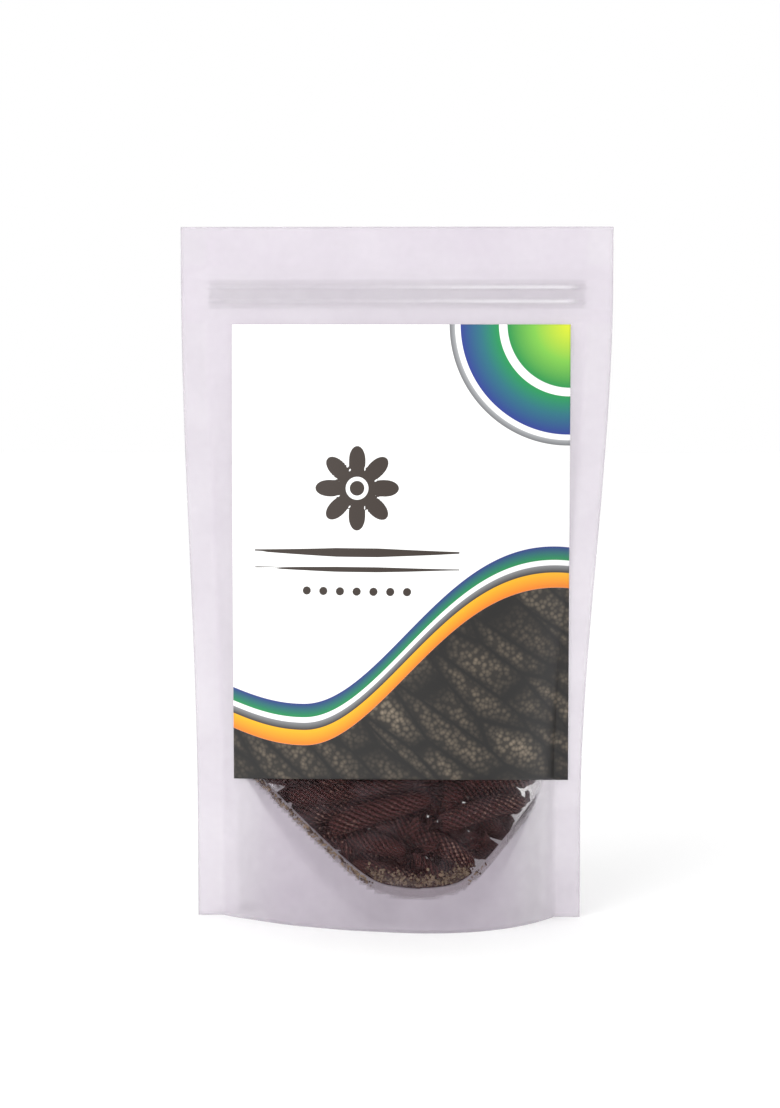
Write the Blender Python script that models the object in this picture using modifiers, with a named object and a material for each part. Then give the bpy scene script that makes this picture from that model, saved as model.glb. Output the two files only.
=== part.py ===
"""A zip-top stand-up pouch of frosted film, filled with dried long peppers and carrying a paper label.

Metres, +Z up, -Y is the labelled front. The origin is on the surface that the pouch stands on, under
the middle of its top edge. Two film panels are welded down both sides, a gusset opens between them at
the base, and a zip runs inside below the header. The film doesn't stretch, so the width that the pouch
loses where it fills is the width that its belly takes up.
"""

import math

import bmesh
import bpy
import numpy as np

POUCH_WIDTH = 0.130
POUCH_HEIGHT = 0.210
SIDE_SEAL = 0.008
FILM = 0.0004
MATING_GAP = 0.0003

# How far each side edge is drawn in where the pouch is full, and the heights between which it tapers.
LEFT_DRAW_IN = 0.0041
RIGHT_DRAW_IN = 0.0089
FULL_HEIGHT = 0.030
FLAT_HEIGHT = 0.193
BELLY_POWER = 2.6
BELLY_SLACK = 1.09
BELLY_SKEW = 0.35

ZIP_HEIGHT = 0.1898
ZIP_FLANGE = 0.0086
ZIP_ROOM = 0.0014
ZIP_RAMP = 0.004
ZIP_BASE = 0.0004
ZIP_RIB = (0.0012, 0.0012)
ZIP_LIP = (0.0010, 0.0005)
ZIP_SLOT = 0.0018

# The welds that hold the gusset to the panels: level across the middle, then rising to each side. Below
# them the gusset's flanges line the panels' skirts, and above them it folds over and drops to the base.
SKIRT = 0.0125
GUSSET_MIDDLE = 0.0075
GUSSET_LEVEL_HALF = 0.0135
GUSSET_SLOPES = (0.9, 1.2)
GUSSET_FOLD = 0.047
GUSSET_FOLD_WIDTH = 0.0011
FLANGE_GAP = 0.0004
GUSSET_FLAT_HALF = 0.012
GUSSET_FLAT_SHARE = 0.45
GUSSET_CLIMB_POWER = 1.5
GUSSET_END = 0.0045

LABEL_WIDTH = 0.1017
LABEL_FOOT = 0.0462
LABEL_HEAD = 0.1808
LABEL_MIDDLE = 0.0014
LABEL_SHEET = 0.0003
LABEL_GAP = 0.0005

PEPPERS = 54
PEPPER_LENGTHS = (0.031, 0.034, 0.036, 0.038, 0.040, 0.042)
PEPPER_RADIUS = 0.0034
PEPPER_BEND = 0.0010
PEPPER_RELIEF = 0.07
STALK_LENGTH = 0.0035
STALK_RADIUS = 0.0008

# The spikes are dropped one by one, each where it comes to rest lowest of the places tried.
SEED = 11
TRIES = 500
NUDGES = 120
NUDGE_SCALES = (1.0, 0.6, 0.35)
NUDGE_SHIFT = 0.003
NUDGE_TURN = 0.25
LARGEST_TILT = math.radians(35)
SPACING = 0.0005
WALL_SPACING = 0.0008
FLOOR_SPACING = 0.0012
SPHERE_MARGIN = 0.00025


def smoothstep(t):
    t = np.clip(t, 0.0, 1.0)
    return t * t * (3 - 2 * t)


def flatness(z):
    """0 where the pouch is full, 1 where its two panels lie together."""
    return smoothstep((z - FULL_HEIGHT) / (FLAT_HEIGHT - FULL_HEIGHT))


def left_edge(z):
    return -POUCH_WIDTH / 2 + LEFT_DRAW_IN * (1 - flatness(z))


def right_edge(z):
    return POUCH_WIDTH / 2 - RIGHT_DRAW_IN * (1 - flatness(z))


def belly_depth(z):
    """How far the middle of a panel stands out: its arc is as long as the flat film between the seals."""
    arc = POUCH_WIDTH - 2 * SIDE_SEAL
    chord = right_edge(z) - left_edge(z) - 2 * SIDE_SEAL
    spare = np.maximum(arc / chord - 1, 0.0)
    curve = BELLY_POWER**2 / (2 * (2 * BELLY_POWER - 1))
    return BELLY_SLACK * chord / 2 * np.sqrt(spare / curve)


def bulge(x, z):
    """How far a panel stands out from where its side seals lie, at x and z."""
    inner_left = left_edge(z) + SIDE_SEAL
    inner_right = right_edge(z) - SIDE_SEAL
    across = 2 * (x - inner_left) / (inner_right - inner_left) - 1
    skew = 1 + BELLY_SKEW * (1 - flatness(z)) * across
    inside = np.clip(np.abs(across), 0.0, 1.0)
    belly = belly_depth(z) * (1 - inside**BELLY_POWER) * skew
    over_zip = 1 - smoothstep((np.abs(z - ZIP_HEIGHT) - ZIP_FLANGE / 2) / ZIP_RAMP)
    to_edge = np.minimum(x - left_edge(z), right_edge(z) - x) / SIDE_SEAL
    return np.maximum(belly, ZIP_ROOM * over_zip * np.clip(to_edge, 0.0, 1.0))


def inner_depth(x, z):
    """How far a panel's inner face is from the pouch's middle plane."""
    return MATING_GAP / 2 + bulge(x, z)


def weld_height(x):
    """Height of the weld between the gusset and a panel."""
    from_middle = x - GUSSET_MIDDLE
    slope = np.where(from_middle < 0, *GUSSET_SLOPES)
    rise = np.maximum(np.abs(from_middle) - GUSSET_LEVEL_HALF, 0.0) * slope
    return np.minimum(SKIRT + rise, GUSSET_FOLD)


def gusset_ends():
    left = left_edge(SKIRT) + SIDE_SEAL + GUSSET_END
    right = right_edge(SKIRT) - SIDE_SEAL - GUSSET_END
    return left, right


def flange_depth(x, z):
    """How far a flange's middle surface is from the pouch's middle plane: the gap is square to the film."""
    step = SIDE_SEAL / 100
    lean = (bulge(x + step, z) - bulge(x - step, z)) / (2 * step)
    apart = (FILM + FLANGE_GAP) * np.sqrt(1 + lean**2)
    return inner_depth(x, z) + FILM / 2 - apart


def gusset_half_depth(x):
    return flange_depth(x, weld_height(x)) - GUSSET_FOLD_WIDTH


def gusset_height(x, across):
    """Height of the gusset's middle surface, where across runs from -1 at the front weld to 1 at the back."""
    left, right = gusset_ends()
    from_middle = x - GUSSET_MIDDLE
    reach = np.where(from_middle < 0, GUSSET_MIDDLE - left, right - GUSSET_MIDDLE)
    end_height = np.where(from_middle < 0, weld_height(left), weld_height(right))
    climb = np.clip((np.abs(from_middle) - GUSSET_FLAT_HALF) / (reach - GUSSET_FLAT_HALF), 0.0, 1.0)
    middle = np.minimum(end_height * climb**GUSSET_CLIMB_POWER, weld_height(x))
    outer = np.clip((np.abs(across) - GUSSET_FLAT_SHARE) / (1 - GUSSET_FLAT_SHARE), 0.0, 1.0)
    return FILM / 2 + middle + (weld_height(x) - middle) * outer**2


def material(name, colour, roughness, alpha=1.0):
    made = bpy.data.materials.new(name)
    made.use_nodes = True
    shader = made.node_tree.nodes["Principled BSDF"]
    shader.inputs["Base Color"].default_value = (*colour, 1.0)
    shader.inputs["Roughness"].default_value = roughness
    shader.inputs["Metallic"].default_value = 0.0
    shader.inputs["Alpha"].default_value = alpha
    made.diffuse_color = (*colour, alpha)
    return made


def add_object(name, mesh, collection, finish):
    made = bpy.data.objects.new(name, mesh)
    if not mesh.materials:
        mesh.materials.append(finish)
    collection.objects.link(made)
    return made


def add_sheet(name, columns, rows, point, thickness, collection, finish):
    """A grid laid on the surface that point(u, v) gives, with u and v from 0 to 1, thickened both ways."""
    mesh = bpy.data.meshes.new(name)
    bm = bmesh.new()
    bmesh.ops.create_grid(bm, x_segments=columns, y_segments=rows, size=0.5)
    for vertex in bm.verts:
        vertex.co = point(vertex.co.x + 0.5, vertex.co.y + 0.5)
    bm.to_mesh(mesh)
    bm.free()
    mesh.shade_smooth()
    made = add_object(name, mesh, collection, finish)
    shell = made.modifiers.new("thickness", "SOLIDIFY")
    shell.thickness = thickness
    shell.offset = 0.0
    shell.use_even_offset = True
    return made


def add_panel(name, side, collection, finish):
    """One film panel. side is -1 for the front and 1 for the back."""
    belly_rows = np.linspace(0.0, ZIP_HEIGHT - ZIP_FLANGE / 2 - ZIP_RAMP, 17)
    zip_rows = ZIP_HEIGHT + np.array([-ZIP_FLANGE / 2, 0.0, ZIP_FLANGE / 2])
    header_rows = np.linspace(ZIP_HEIGHT + ZIP_FLANGE / 2 + ZIP_RAMP, POUCH_HEIGHT, 3)
    heights = np.concatenate([belly_rows, zip_rows, header_rows])
    row_shares = np.linspace(0.0, 1.0, len(heights))

    def point(u, v):
        z = np.interp(v, row_shares, heights)
        left, right = left_edge(z), right_edge(z)
        x = np.interp(u, (0.0, 0.1, 0.9, 1.0), (left, left + SIDE_SEAL, right - SIDE_SEAL, right))
        y = side * (inner_depth(x, z) + FILM / 2)
        return x, y, z

    return add_sheet(name, 20, len(heights) - 1, point, FILM, collection, finish)


def add_gusset(collection, finish):
    """A flange up each skirt, folded over at the weld into a web with a flat spot that rests on the surface."""
    left, right = gusset_ends()
    web = np.linspace(1.0, GUSSET_FLAT_SHARE, 5)
    rows = [("flange", 0.0), ("flange", 0.5), ("flange", 1.0), ("fold", 0.5)]
    rows += [("web", across) for across in (*web, 0.0, *-web[::-1])]
    rows += [("fold", -0.5), ("flange", -1.0), ("flange", -0.5), ("flange", -0.0)]
    row_side = np.linspace(-1, 1, len(rows))

    def point(u, v):
        x = left + (right - left) * u
        weld = weld_height(x)
        row = round(v * (len(rows) - 1))
        stretch, share = rows[row]
        side = math.copysign(1.0, row_side[row])
        if stretch == "flange":
            z = weld * abs(share)
            y = side * flange_depth(x, z)
        elif stretch == "fold":
            z = weld + GUSSET_FOLD_WIDTH / 2
            y = side * (flange_depth(x, weld) - GUSSET_FOLD_WIDTH / 2)
        else:
            z = gusset_height(x, share)
            y = -share * gusset_half_depth(x)
        return x, y, z

    return add_sheet("bottom_gusset", 20, len(rows) - 1, point, FILM, collection, finish)


def add_label(collection, finish):
    def point(u, v):
        z = LABEL_FOOT + (LABEL_HEAD - LABEL_FOOT) * v
        x = LABEL_MIDDLE + LABEL_WIDTH * (u - 0.5)
        y = -(inner_depth(x, z) + FILM + LABEL_GAP + LABEL_SHEET / 2)
        return x, y, z

    return add_sheet("front_label", 18, 12, point, LABEL_SHEET, collection, finish)


def add_zip_strip(name, side, outline, collection, finish):
    """An extruded strip, from its (depth, height) outline, across the pouch between the side seals."""
    curve = bpy.data.curves.new(name, "CURVE")
    curve.dimensions = "2D"
    curve.fill_mode = "BOTH"
    curve.extrude = POUCH_WIDTH / 2 - SIDE_SEAL - MATING_GAP
    spline = curve.splines.new("POLY")
    spline.points.add(len(outline) - 1)
    spline.use_cyclic_u = True
    for at, (depth, height) in zip(spline.points, outline):
        at.co = (side * depth, height, 0.0, 1.0)
    made = bpy.data.objects.new(name, curve)
    curve.materials.append(finish)
    # The outline's X becomes depth along Y, its Y becomes height, and it is extruded along X.
    made.rotation_euler = (math.pi / 2, 0.0, math.pi / 2)
    made.location = (0.0, 0.0, ZIP_HEIGHT)
    collection.objects.link(made)
    return made


def add_zip(collection, finish):
    """A rib on the front flange, held between two lips on the back flange."""
    wall = MATING_GAP / 2 + ZIP_ROOM - MATING_GAP
    base = wall - ZIP_BASE
    half = ZIP_FLANGE / 2
    rib_reach, rib_width = ZIP_RIB
    lip_reach, lip_width = ZIP_LIP
    rib = [
        (wall, -half),
        (wall, half),
        (base, half),
        (base, rib_width / 2),
        (base - rib_reach, rib_width / 2),
        (base - rib_reach, -rib_width / 2),
        (base, -rib_width / 2),
        (base, -half),
    ]
    slot = ZIP_SLOT / 2
    groove = [(wall, -half), (wall, half), (base, half)]
    for inner, outer in ((slot, slot + lip_width), (-slot - lip_width, -slot)):
        top, bottom = max(inner, outer), min(inner, outer)
        groove += [(base, top), (base - lip_reach, top), (base - lip_reach, bottom), (base, bottom)]
    groove.append((base, -half))
    add_zip_strip("zip_rib", -1, rib, collection, finish)
    add_zip_strip("zip_groove", 1, groove, collection, finish)


def girth(place):
    """A spike's thickness along its length, from 0 at the stalk to 1 at the tip, as a share of its widest."""
    return np.sqrt(np.maximum(1 - np.abs(2 * place - 0.92) ** 4.5, 0.0)) * (1.04 - 0.22 * place)


def bend(place):
    return PEPPER_BEND * (1 - (2 * place - 1) ** 2)


def pepper_mesh(name, length, finish):
    """A spike along X: a short stalk, a blunt tip, and its tiny crowded fruits as low knobs."""
    around, along = 8, 12
    mesh = bpy.data.meshes.new(name)
    bm = bmesh.new()
    bmesh.ops.create_uvsphere(bm, u_segments=around, v_segments=along, radius=1.0)
    stations = np.arange(along + 1)
    body = np.linspace(0.02, 0.94, along - 3)
    stalk = -STALK_LENGTH / length
    places = np.concatenate([[stalk, stalk, 0.0], body, [1.0]])
    radii = PEPPER_RADIUS * np.concatenate([[0.0, 0.0, 0.0], girth(body), [0.0]])
    radii[1:3] = STALK_RADIUS
    for vertex in bm.verts:
        ring = round(along * math.acos(max(-1.0, min(1.0, vertex.co.z))) / math.pi)
        turn = math.atan2(vertex.co.y, vertex.co.x)
        column = round(around * turn / math.tau)
        knob = 1 + PEPPER_RELIEF * (-1) ** (ring + column) * (2 < ring < along)
        radius = np.interp(ring, stations, radii) * knob
        place = np.interp(ring, stations, places)
        vertex.co = (
            (place - 0.5) * length,
            radius * math.cos(turn),
            radius * math.sin(turn) + bend(place),
        )
    # Laying the sphere's poles along X mirrors it, so its faces are turned to point out again.
    bmesh.ops.reverse_faces(bm, faces=bm.faces)
    bm.to_mesh(mesh)
    bm.free()
    mesh.materials.append(finish)
    return mesh


def spike_spheres(length):
    """A spike as a row of spheres that enclose it: places along X, offsets along Z, and radii."""
    body = np.linspace(0.06, 0.95, 12)
    stalk = -STALK_LENGTH / length
    places = np.concatenate([[0.9 * stalk, 0.4 * stalk], body, [1.0]])
    radii = PEPPER_RADIUS * (1 + PEPPER_RELIEF) * girth(body)
    radii = np.concatenate([[STALK_RADIUS, STALK_RADIUS], radii, [0.0]]) + SPHERE_MARGIN
    return (places - 0.5) * length, bend(places), radii


def posed_spheres(along, lift, poses):
    """The spheres' centres for each pose, a row of (x, y, heading, tilt, roll), at a height of 0."""
    x, y, heading, tilt, roll = (column[:, None] for column in poses.T)
    sideways = -lift * np.sin(roll)
    upward = lift * np.cos(roll)
    outward = along * np.cos(tilt) - upward * np.sin(tilt)
    px = x + outward * np.cos(heading) - sideways * np.sin(heading)
    py = y + outward * np.sin(heading) + sideways * np.cos(heading)
    pz = along * np.sin(tilt) + upward * np.cos(tilt)
    return px, py, pz


def resting_height(px, py, pz, radii, settled):
    """How high each pose comes to rest when it drops onto the gusset and the spikes already there."""
    left, right = gusset_ends()
    height = np.zeros(len(px))
    for polar, turns in ((0.0, 1), (0.6, 8), (1.1, 8)):
        for turn in np.linspace(0.0, math.tau, turns, endpoint=False):
            skin_x = np.clip(px + radii * math.sin(polar) * math.cos(turn), left, right)
            skin_y = py + radii * math.sin(polar) * math.sin(turn)
            skin_z = pz - radii * math.cos(polar)
            across = np.clip(skin_y / gusset_half_depth(skin_x), -1.0, 1.0)
            floor = gusset_height(skin_x, across) + FLOOR_SPACING
            height = np.maximum(height, (floor - skin_z).max(axis=1))
    for sphere, radius in enumerate(radii):
        reach = radius + settled[:, 3] + SPACING
        away_x = px[:, sphere, None] - settled[:, 0]
        away_y = py[:, sphere, None] - settled[:, 1]
        spare = reach**2 - away_x**2 - away_y**2
        touch = settled[:, 2] + np.sqrt(np.maximum(spare, 0.0)) - pz[:, sphere, None]
        height = np.maximum(height, np.where(spare > 0, touch, 0.0).max(axis=1, initial=0.0))
    return height


def inside_film(px, py, pz, radii):
    """Whether every sphere of each pose is clear of both panels and of the gusset's ends."""
    left, right = gusset_ends()
    clear = np.ones(len(px), bool)
    for turn in np.linspace(0.0, math.tau, 8, endpoint=False):
        for rise in (-0.3, 0.3):
            skin_x = px + radii * math.cos(turn) * math.cos(rise)
            skin_y = py + radii * math.sin(turn) * math.cos(rise)
            skin_z = pz + radii * math.sin(rise)
            clear &= ((skin_x > left) & (skin_x < right)).all(axis=1)
            clear &= (np.abs(skin_y) < inner_depth(skin_x, skin_z) - WALL_SPACING).all(axis=1)
    return clear


def settle_spikes():
    """Where each spike comes to rest: its length, its (x, y, heading, tilt, roll) and its height."""
    rng = np.random.default_rng(SEED)
    left, right = gusset_ends()
    low = np.array([left, -belly_depth(0.0), 0.0, -LARGEST_TILT, 0.0])
    high = np.array([right, belly_depth(0.0), math.tau, LARGEST_TILT, math.tau])
    nudge = np.array([NUDGE_SHIFT, NUDGE_SHIFT, NUDGE_TURN, NUDGE_TURN, 2 * NUDGE_TURN])
    settled = np.zeros((0, 4))
    resting = []
    for index in range(PEPPERS):
        length = PEPPER_LENGTHS[index % len(PEPPER_LENGTHS)]
        along, lift, radii = spike_spheres(length)
        best_height, best_pose, best_spheres = math.inf, None, None
        for scale in (None, *NUDGE_SCALES):
            if scale is None:
                poses = rng.uniform(low, high, (TRIES, 5))
            else:
                poses = best_pose + rng.normal(size=(NUDGES, 5)) * nudge * scale
            px, py, pz = posed_spheres(along, lift, poses)
            height = resting_height(px, py, pz, radii, settled)
            pz = pz + height[:, None]
            height[~inside_film(px, py, pz, radii)] = math.inf
            lowest = np.argmin(height)
            if height[lowest] < best_height:
                best_height, best_pose = height[lowest], poses[lowest]
                best_spheres = np.stack([px[lowest], py[lowest], pz[lowest], radii], axis=1)
        settled = np.concatenate([settled, best_spheres])
        resting.append((length, best_pose, best_height))
    return resting


def add_spikes(collection, finish):
    meshes = {length: pepper_mesh(f"spike_{length * 1000:.0f}", length, finish) for length in PEPPER_LENGTHS}
    for number, (length, pose, height) in enumerate(settle_spikes(), 1):
        x, y, heading, tilt, roll = pose
        made = add_object(f"pepper_{number:02d}", meshes[length], collection, finish)
        made.rotation_euler = (roll, -tilt, heading)
        made.location = (x, y, height)


def main():
    for old in list(bpy.data.objects):
        bpy.data.objects.remove(old)
    pouch = bpy.data.collections.new("long_pepper_pouch")
    bpy.context.scene.collection.children.link(pouch)
    film = material("frosted_film", (0.80, 0.76, 0.82), 0.45, 0.4)
    zip_plastic = material("zip_polyethylene", (0.85, 0.83, 0.87), 0.35, 0.6)
    paper = material("label_paper", (0.93, 0.93, 0.92), 0.4)
    spike = material("dried_spike", (0.045, 0.026, 0.020), 0.85)
    add_panel("front_film", -1, pouch, film)
    add_panel("back_film", 1, pouch, film)
    add_gusset(pouch, film)
    add_zip(pouch, zip_plastic)
    add_label(pouch, paper)
    add_spikes(pouch, spike)


main()
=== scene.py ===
"""A frosted stand-up pouch of dried long pepper, as it looks: film, zip, printed label, spikes and crumbs.

Metres, +Z up, -Y is the labelled front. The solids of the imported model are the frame. The sections follow
the pouch as it is made and filled: panels, gusset, zip, label, spikes, crumbs, and then the studio.
"""

import math

import bmesh
import bpy
import numpy as np
from mathutils import Matrix, Vector, kdtree


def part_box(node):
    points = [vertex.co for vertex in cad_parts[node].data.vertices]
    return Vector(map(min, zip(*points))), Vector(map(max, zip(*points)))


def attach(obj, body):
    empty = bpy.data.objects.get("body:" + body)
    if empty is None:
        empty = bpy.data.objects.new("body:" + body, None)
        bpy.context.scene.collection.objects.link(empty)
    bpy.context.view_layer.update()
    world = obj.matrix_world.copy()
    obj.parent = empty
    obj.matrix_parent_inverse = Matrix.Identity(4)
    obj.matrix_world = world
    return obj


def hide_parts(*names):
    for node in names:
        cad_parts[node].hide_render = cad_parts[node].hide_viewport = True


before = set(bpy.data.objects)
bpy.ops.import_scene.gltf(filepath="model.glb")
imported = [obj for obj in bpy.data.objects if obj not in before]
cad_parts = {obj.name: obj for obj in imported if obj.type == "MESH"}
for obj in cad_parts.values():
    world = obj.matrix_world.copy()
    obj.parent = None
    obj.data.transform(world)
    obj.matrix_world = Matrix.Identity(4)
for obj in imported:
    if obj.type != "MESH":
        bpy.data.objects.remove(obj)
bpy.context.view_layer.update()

# Film panels
# Two webs of laminated film with a frosted outer layer, welded together down both sides, 8 mm wide. The
# pouch is cut 130 by 210 mm, and its sides draw in where it is full, by as much as the belly's arc takes up.

SIDE_SEAL = 0.008
FILM = 0.0004
MATING_GAP = 0.0003
LEFT_DRAW_IN = 0.0041
RIGHT_DRAW_IN = 0.0089
FULL_HEIGHT = 0.030
FLAT_HEIGHT = 0.193
BELLY_POWER = 2.6
BELLY_SLACK = 1.09
BELLY_SKEW = 0.35
ZIP_HEIGHT = 0.1898
ZIP_FLANGE = 0.0086
ZIP_ROOM = 0.0014
ZIP_RAMP = 0.004
SKIRT = 0.0119
GUSSET_MIDDLE = 0.0075
GUSSET_LEVEL_HALF = 0.0135
GUSSET_SLOPES = (0.9, 1.2)
WELD_ROUNDING = 0.006
GUSSET_FOLD = 0.047

pouch_left, pouch_right = -0.065, 0.065
pouch_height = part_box("front_film")[1].z


def smoothstep(t):
    t = np.clip(t, 0.0, 1.0)
    return t * t * (3 - 2 * t)


def flatness(z):
    """0 where the pouch is full, 1 where its two panels lie together."""
    return smoothstep((z - FULL_HEIGHT) / (FLAT_HEIGHT - FULL_HEIGHT))


def left_edge(z):
    return pouch_left + LEFT_DRAW_IN * (1 - flatness(z))


def right_edge(z):
    return pouch_right - RIGHT_DRAW_IN * (1 - flatness(z))


def belly_depth(z):
    arc = pouch_right - pouch_left - 2 * SIDE_SEAL
    chord = right_edge(z) - left_edge(z) - 2 * SIDE_SEAL
    spare = np.maximum(arc / chord - 1, 0.0)
    curve = BELLY_POWER**2 / (2 * (2 * BELLY_POWER - 1))
    return BELLY_SLACK * chord / 2 * np.sqrt(spare / curve)


def bulge(x, z):
    """How far a panel stands out from where its side seals lie, at x and z."""
    inner_left = left_edge(z) + SIDE_SEAL
    inner_right = right_edge(z) - SIDE_SEAL
    across = 2 * (x - inner_left) / (inner_right - inner_left) - 1
    skew = 1 + BELLY_SKEW * (1 - flatness(z)) * across
    inside = np.clip(np.abs(across), 0.0, 1.0)
    belly = belly_depth(z) * (1 - inside**BELLY_POWER) * skew
    over_zip = 1 - smoothstep((np.abs(z - ZIP_HEIGHT) - ZIP_FLANGE / 2) / ZIP_RAMP)
    to_edge = np.minimum(x - left_edge(z), right_edge(z) - x) / SIDE_SEAL
    return np.maximum(belly, ZIP_ROOM * over_zip * np.clip(to_edge, 0.0, 1.0))


def inner_depth(x, z):
    """How far a panel's inner face is from the pouch's middle plane."""
    return MATING_GAP / 2 + bulge(x, z)


def weld_height(x):
    """Height of the weld between the gusset and a panel."""
    from_middle = x - GUSSET_MIDDLE
    slope = np.where(from_middle < 0, *GUSSET_SLOPES)
    beyond = np.abs(from_middle) - GUSSET_LEVEL_HALF
    rise = (beyond + np.hypot(beyond, WELD_ROUNDING)) / 2 * slope
    return np.minimum(SKIRT + rise, GUSSET_FOLD)


# The film itself is thinner than its solid. The zip shows through it as two ridges, with a painted highlight
# along their crests, and a line runs across the header. Each crease: its two ends, its height and half width.
SHELL = 0.00025
PANEL_COLUMNS = 104
PANEL_ROWS = 168
ZIP_RIDGES = ((-0.0021, 0.00055), (0.0021, 0.00065))
ZIP_RIDGE_WIDTH = 0.0006
ZIP_ROWS = 31
RIDGE_RUN = 0.07
RIDGE_START, RIDGE_FAINTEST = -0.02, 0.45
# Where the painted highlight along the zip's ridges starts, how faint it is at the left, and where it ends.
WHITE_START, WHITE_FAINTEST = -0.03, 0.15
WHITE_LEFT_END, WHITE_LEFT_FADE = -0.056, 0.01
WHITE_RIGHT_END, WHITE_RIGHT_FADE = 0.0545, 0.004
HEADER_LINE = (0.1998, 0.00016, 0.0009)
CREASE_FADE_RATE = 5
CREASE_END_SHARE = 0.3
FRONT_CREASES = (
    ((-0.0440, 0.0500), (-0.0100, 0.0180), 0.00060, 0.0009),
    ((-0.0100, 0.0180), (0.0160, 0.0158), 0.00035, 0.0012),
    ((0.0250, 0.0195), (0.0455, 0.0450), 0.00070, 0.0015),
    ((0.0520, 0.0400), (0.0490, 0.0060), -0.00030, 0.0022),
    ((-0.0505, 0.0300), (-0.0470, 0.0040), 0.00025, 0.0030),
    ((-0.0560, 0.1000), (-0.0530, 0.0640), 0.00020, 0.0025),
    ((0.0560, 0.1200), (0.0545, 0.0800), 0.00025, 0.0020),
)
BACK_CREASES = (
    ((-0.0440, 0.0500), (-0.0100, 0.0180), 0.00045, 0.0011),
    ((0.0250, 0.0195), (0.0455, 0.0450), 0.00050, 0.0013),
    ((-0.0450, 0.1500), (-0.0100, 0.1180), 0.00045, 0.0022),
    ((0.0420, 0.1480), (0.0120, 0.1250), 0.00040, 0.0026),
    ((-0.0350, 0.1050), (-0.0480, 0.0720), 0.00035, 0.0024),
    ((0.0300, 0.1020), (0.0450, 0.0700), 0.00035, 0.0024),
    ((-0.0060, 0.1720), (0.0040, 0.1400), 0.00025, 0.0035),
)
RIPPLE = 0.00016
RIPPLE_LENGTHS = (0.045, 0.031, 0.022, 0.015)
RIPPLE_SEEDS = {-1: 2, 1: 4}
RIPPLE_ANGLE = 0.9
WELD_STEP, WELD_STEP_WIDTH = 0.00012, 0.0012
# How far from the side seals the film is free to ripple, to crease, and to be lifted by the zip.
SLACK_FROM_SEAL = 0.006
CREASE_FROM_SEAL = 0.003
RIDGE_FROM_SEAL = 0.002
TAUT_BELOW_TOP = 0.05
SEAL_SOFTENING = 0.0015
TOP_SEAL = 0.004


def linear(colour):
    """An sRGB hex colour as linear red, green, blue and alpha."""
    channels = [int(colour[place : place + 2], 16) / 255 for place in (1, 3, 5)]
    return (*[c / 12.92 if c <= 0.04045 else ((c + 0.055) / 1.055) ** 2.4 for c in channels], 1.0)


def add_node(tree, kind, inputs, output=0, **settings):
    """Adds a node with its settings and gives one of its outputs. An input is a value or another output."""
    node = tree.nodes.new(kind)
    for setting, value in settings.items():
        setattr(node, setting, value)
    for socket, value in inputs.items():
        if isinstance(value, bpy.types.NodeSocket):
            tree.links.new(value, node.inputs[socket])
        else:
            node.inputs[socket].default_value = value
    return node.outputs[output]


def attribute(tree, name):
    return add_node(tree, "ShaderNodeAttribute", {}, "Fac", attribute_name=name)


def noise(tree, place, scale, detail):
    return add_node(tree, "ShaderNodeTexNoise", {"Vector": place, "Scale": scale, "Detail": detail}, "Fac")


def combined(tree, operation, first, second):
    return add_node(tree, "ShaderNodeMath", {0: first, 1: second}, operation=operation)


def mixed(tree, share, first, second):
    return add_node(tree, "ShaderNodeMixRGB", {"Fac": share, "Color1": first, "Color2": second})


def ramp(tree, value, start, end, low=0.0, high=1.0, **settings):
    """Runs from low to high while the value runs from start to end."""
    inputs = {"Value": value, "From Min": start, "From Max": end, "To Min": low, "To Max": high}
    return add_node(tree, "ShaderNodeMapRange", inputs, **settings)


def add_object(name, data, finish=None):
    """Adds an object to the scene, and a finish to its mesh where one is given."""
    made = bpy.data.objects.new(name, data)
    bpy.context.scene.collection.objects.link(made)
    if finish:
        data.materials.append(finish)
    return made


def new_material(name):
    """A material with an empty node tree but for its output and its shader."""
    material = bpy.data.materials.new(name)
    material.use_nodes = True
    return material, material.node_tree, material.node_tree.nodes["Principled BSDF"]


def crease(x, z, start, end, height, half_width):
    """A soft ridge along a line, fading out towards both its ends."""
    run = (end[0] - start[0], end[1] - start[1])
    share = ((x - start[0]) * run[0] + (z - start[1]) * run[1]) / (run[0] ** 2 + run[1] ** 2)
    along = np.clip(share, 0.0, 1.0)
    away = np.hypot(x - start[0] - along * run[0], z - start[1] - along * run[1])
    fade = smoothstep(along * CREASE_FADE_RATE) * smoothstep((1 - along) * CREASE_FADE_RATE)
    strength = CREASE_END_SHARE + (1 - CREASE_END_SHARE) * fade
    return height * np.exp(-((away / half_width) ** 2)) * strength


def ripple(x, z, seed):
    """Slack film's shallow unevenness: a few long waves at seeded angles."""
    rng = np.random.default_rng(seed)
    total = np.zeros(np.shape(x))
    for wavelength in RIPPLE_LENGTHS:
        angle, phase = rng.uniform(-RIPPLE_ANGLE, RIPPLE_ANGLE), rng.uniform(0, math.tau)
        distance = x * math.cos(angle) + z * math.sin(angle)
        total += np.sin(distance * math.tau / wavelength + phase) * wavelength
    return RIPPLE * total / RIPPLE_LENGTHS[0]


def zip_ridge(z, offset):
    """1 on the crest of a ridge of the zip, offset from its middle, and 0 away from it."""
    return np.exp(-(((z - ZIP_HEIGHT - offset) / ZIP_RIDGE_WIDTH) ** 2))


def grows_right(x, start, faintest):
    """Runs from its faintest at the left to 1 at the right."""
    return faintest + (1 - faintest) * smoothstep((x - start) / RIDGE_RUN)


def painted_zip_glint(x, z):
    """Painted highlight: 1 along the crest of a ridge of the zip, most of all towards the right. 0 elsewhere.
    """
    total = np.zeros(np.shape(x))
    for offset, _ in ZIP_RIDGES:
        right_end = smoothstep((WHITE_RIGHT_END - x) / WHITE_RIGHT_FADE)
        total += zip_ridge(z, offset) * grows_right(x, WHITE_START, WHITE_FAINTEST) * right_end
    return total * smoothstep((x - WHITE_LEFT_END) / WHITE_LEFT_FADE)


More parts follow.
